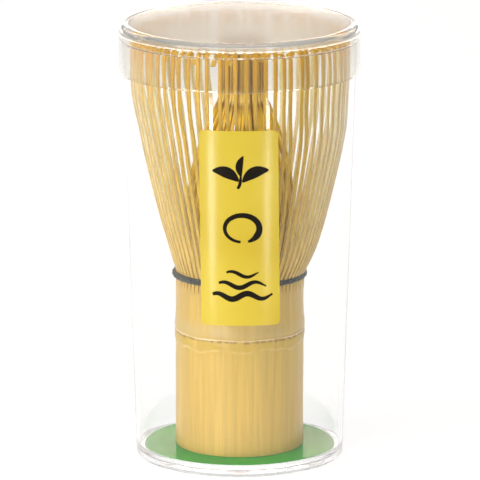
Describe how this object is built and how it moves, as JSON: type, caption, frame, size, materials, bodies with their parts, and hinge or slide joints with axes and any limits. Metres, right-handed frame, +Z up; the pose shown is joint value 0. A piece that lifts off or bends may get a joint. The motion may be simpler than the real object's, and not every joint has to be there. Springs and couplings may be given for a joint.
{
  "type": "bamboo tea whisk in storage case",
  "caption": "Bamboo tea whisk with a culm handle, a thread-bound ring of split tines and an inner bundle, standing on a green disc in a clear tapered tube with a slip-on lid and yellow label.",
  "frame": {"origin": "middle of the case's base, on the surface it stands on", "axes": "+Z up along the whisk's and the case's common axis; the label faces -Y"},
  "size_m": [0.0642, 0.0642, 0.1178],
  "materials": {
    "culm_bamboo": "smooth natural bamboo skin with fine upright fibres, satin",
    "tine_bamboo": "split and shaved pale bamboo, satin",
    "inner_bamboo": "split bamboo, deeper golden, satin",
    "dark_thread": "twisted dark grey-green cotton thread, matt",
    "clear_plastic": "clear moulded plastic, polished",
    "clear_plastic_lid": "clear moulded plastic, polished",
    "yellow_paper": null,
    "green_paper": "coated green card, semi-gloss"
  },
  "bodies": {
    "case": {"case_tube": "clear_plastic", "base_disc": "green_paper", "label": "yellow_paper"},
    "whisk": {"handle": "culm_bamboo", "outer_tines_01": "tine_bamboo", "outer_tines_02": "tine_bamboo", "outer_tines_03": "tine_bamboo", "outer_tines_04": "tine_bamboo", "outer_tines_05": "tine_bamboo", "outer_tines_06": "tine_bamboo", "outer_tines_07": "tine_bamboo", "outer_tines_08": "tine_bamboo", "outer_tines_09": "tine_bamboo", "outer_tines_10": "tine_bamboo", "outer_tines_11": "tine_bamboo", "outer_tines_12": "tine_bamboo", "outer_tines_13": "tine_bamboo", "outer_tines_14": "tine_bamboo", "outer_tines_15": "tine_bamboo", "outer_tines_16": "tine_bamboo", "outer_tines_17": "tine_bamboo", "outer_tines_18": "tine_bamboo", "inner_tines_01": "inner_bamboo", "inner_tines_02": "inner_bamboo", "inner_tines_03": "inner_bamboo", "inner_tines_04": "inner_bamboo", "inner_tines_05": "inner_bamboo", "inner_tines_06": "inner_bamboo", "inner_tines_07": "inner_bamboo", "inner_tines_08": "inner_bamboo", "inner_tines_09": "inner_bamboo", "inner_tines_10": "inner_bamboo", "inner_tines_11": "inner_bamboo", "inner_tines_12": "inner_bamboo", "inner_tines_13": "inner_bamboo", "inner_tines_14": "inner_bamboo", "inner_tines_15": "inner_bamboo", "inner_tines_16": "inner_bamboo", "inner_tines_17": "inner_bamboo", "inner_tines_18": "inner_bamboo", "binding_thread": "dark_thread"},
    "lid": {"case_lid": "clear_plastic_lid"}
  },
  "joints": [
    {"name": "whisk_lift", "type": "slide", "parent": "case", "child": "whisk", "axis": [0, 0, 1], "range_m": [0, 0.115]},
    {"name": "lid_lift", "type": "slide", "parent": "whisk", "child": "lid", "axis": [0, 0, 1], "range_m": [0, 0.03]}
  ]
}
